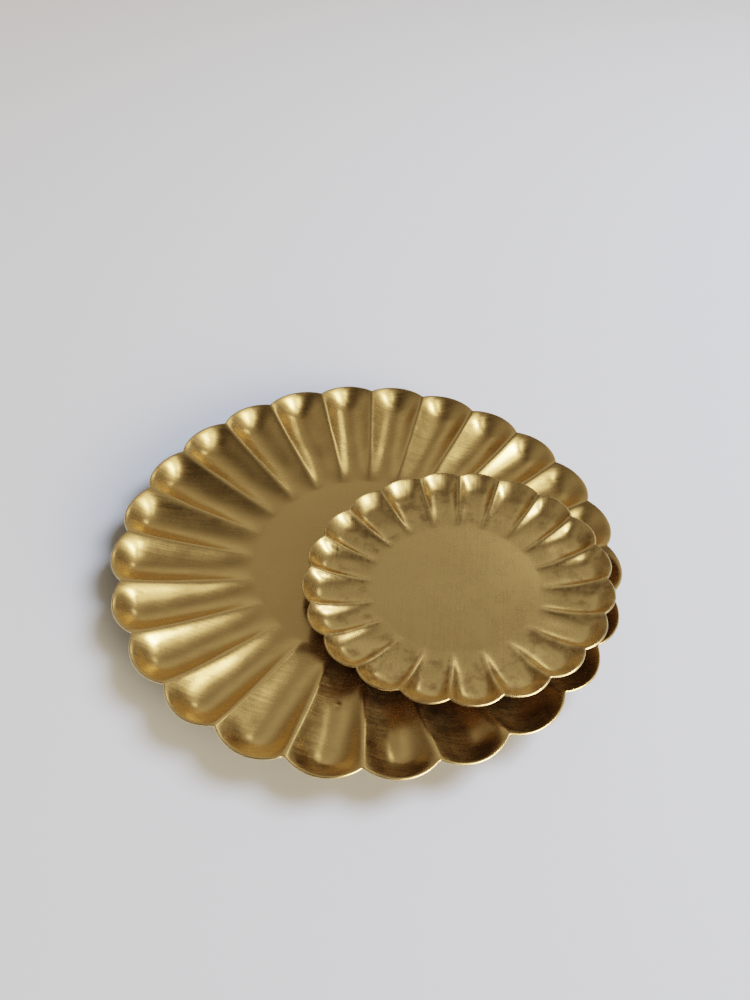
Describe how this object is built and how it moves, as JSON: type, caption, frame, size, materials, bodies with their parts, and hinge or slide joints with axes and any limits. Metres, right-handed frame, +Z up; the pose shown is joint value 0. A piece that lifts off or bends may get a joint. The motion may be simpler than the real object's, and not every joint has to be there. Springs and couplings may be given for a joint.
{
  "type": "fluted brass tray with a smaller tray in it",
  "caption": "Shallow round brass tray with fluted petal sides and a scalloped rim, with a smaller matching tray lying loose and tilted in it, free to lift off.",
  "frame": {"origin": "middle of the underside of the large tray's flat floor, on the surface it stands on", "axes": "+Z up, along the large tray's axis; +X along one of the large tray's ridges; the small tray is offset towards +X and a little towards -Y"},
  "size_m": [0.2482, 0.2482, 0.025],
  "materials": {
    "large_brass": "satin, brushed one way, lightly aged",
    "small_brass": "satin, brushed one way, with darker patina in the flutes"
  },
  "bodies": {
    "large_tray_body": {"large_tray": "large_brass"},
    "small_tray_body": {"small_tray": "small_brass"}
  },
  "joints": [
    {"name": "small_tray_lift", "type": "slide", "parent": "large_tray_body", "child": "small_tray_body", "axis": [0, 0, 1], "range_m": [0, 0.08]}
  ]
}
